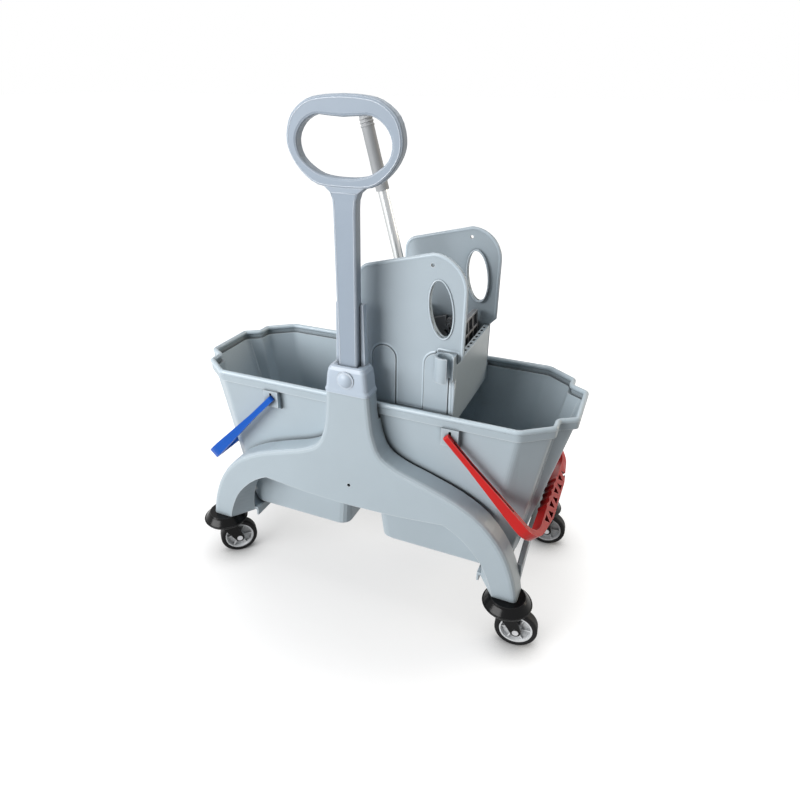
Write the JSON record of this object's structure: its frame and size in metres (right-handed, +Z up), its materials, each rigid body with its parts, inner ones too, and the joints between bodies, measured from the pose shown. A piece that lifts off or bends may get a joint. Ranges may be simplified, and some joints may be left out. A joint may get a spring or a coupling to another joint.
{
  "type": "mop bucket trolley",
  "caption": "Double mop bucket trolley with twin buckets, red and blue bails, a geared jaw wringer, ring push handle and swivel casters",
  "frame": {"origin": "on the floor below the middle of the bounding box", "axes": "X along the trolley towards the red bail, Y across towards the rear panel, Z up"},
  "size_m": [0.768, 0.408, 0.944],
  "materials": {
    "panel": "fine moulded texture",
    "bucket": "smooth moulded",
    "wringer": "smooth moulded",
    "mech": "moulded",
    "steel": "zinc plated",
    "tube": "drawn tube",
    "grip": "fine grain",
    "red": "satin",
    "blue": "satin",
    "black": "fine grain",
    "tyre": "matte",
    "hub": "smooth moulded"
  },
  "bodies": {
    "trolley": {"front_panel": "panel", "rear_panel": "panel", "end_beam_left": "panel", "end_beam_right": "panel", "centre_saddle": "panel", "column_collar": "panel", "push_handle": "panel", "lock_pin": "panel", "bucket_left": "bucket", "bucket_right": "bucket", "wringer_body": "wringer", "bearing_blocks": "mech", "frame_screws": "steel", "caster_stems": "steel", "bumper_front_left": "black", "bumper_front_right": "black", "bumper_rear_left": "black", "bumper_rear_right": "black"},
    "bail_red_body": {"bail_red": "red"},
    "bail_blue_body": {"bail_blue": "blue"},
    "lever": {"lever_shaft": "steel", "jaw_left": "mech", "lever_gear_front": "mech", "lever_gear_rear": "mech", "lever_socket": "mech", "lever_tube": "tube", "lever_grip": "grip"},
    "follower": {"jaw_shaft": "steel", "jaw_right": "mech", "jaw_gear_front": "mech", "jaw_gear_rear": "mech"},
    "caster_front_left": {"fork_front_left": "black", "axle_front_left": "steel"},
    "roller_front_left": {"wheel_front_left": "hub", "tyre_front_left": "tyre"},
    "caster_front_right": {"fork_front_right": "black", "axle_front_right": "steel"},
    "roller_front_right": {"wheel_front_right": "hub", "tyre_front_right": "tyre"},
    "caster_rear_left": {"fork_rear_left": "black", "axle_rear_left": "steel"},
    "roller_rear_left": {"wheel_rear_left": "hub", "tyre_rear_left": "tyre"},
    "caster_rear_right": {"fork_rear_right": "black", "axle_rear_right": "steel"},
    "roller_rear_right": {"wheel_rear_right": "hub", "tyre_rear_right": "tyre"}
  },
  "joints": [
    {"name": "bail_red_hinge", "type": "hinge", "parent": "trolley", "child": "bail_red_body", "pos_m": [0.182, 0.007, 0.406], "axis": [0, -1, 0], "range_deg": [0, 130]},
    {"name": "bail_blue_hinge", "type": "hinge", "parent": "trolley", "child": "bail_blue_body", "pos_m": [-0.182, 0.007, 0.406], "axis": [0, 1, 0], "range_deg": [0, 130]},
    {"name": "lever_hinge", "type": "hinge", "parent": "trolley", "child": "lever", "pos_m": [0.043, 0.007, 0.522], "axis": [0, -1, 0], "range_deg": [0, 40]},
    {"name": "follower_hinge", "type": "hinge", "parent": "trolley", "child": "follower", "pos_m": [0.1415, 0.007, 0.522], "axis": [0, -1, 0], "range_deg": [-40, 0]},
    {"name": "swivel_front_left", "type": "hinge", "parent": "trolley", "child": "caster_front_left", "pos_m": [-0.316, -0.159, 0.09], "axis": [0, 0, 1], "continuous": true},
    {"name": "roll_front_left", "type": "hinge", "parent": "caster_front_left", "child": "roller_front_left", "pos_m": [-0.29991, -0.144, 0.04], "axis": [-0.682, 0.7314, 0], "continuous": true},
    {"name": "swivel_front_right", "type": "hinge", "parent": "trolley", "child": "caster_front_right", "pos_m": [0.316, -0.159, 0.09], "axis": [0, 0, 1], "continuous": true},
    {"name": "roll_front_right", "type": "hinge", "parent": "caster_front_right", "child": "roller_front_right", "pos_m": [0.33784, -0.15632, 0.04], "axis": [-0.1219, 0.9925, 0], "continuous": true},
    {"name": "swivel_rear_left", "type": "hinge", "parent": "trolley", "child": "caster_rear_left", "pos_m": [-0.316, 0.159, 0.09], "axis": [0, 0, 1], "continuous": true},
    {"name": "roll_rear_left", "type": "hinge", "parent": "caster_rear_left", "child": "roller_rear_left", "pos_m": [-0.29533, 0.16652, 0.04], "axis": [-0.342, 0.9397, 0], "continuous": true},
    {"name": "swivel_rear_right", "type": "hinge", "parent": "trolley", "child": "caster_rear_right", "pos_m": [0.316, 0.159, 0.09], "axis": [0, 0, 1], "continuous": true},
    {"name": "roll_rear_right", "type": "hinge", "parent": "caster_rear_right", "child": "roller_rear_right", "pos_m": [0.33792, 0.16092, 0.04], "axis": [-0.0872, 0.9962, 0], "continuous": true}
  ],
  "couplings": [
    {"joint": "follower_hinge", "follows": "lever_hinge", "ratio": -1}
  ]
}
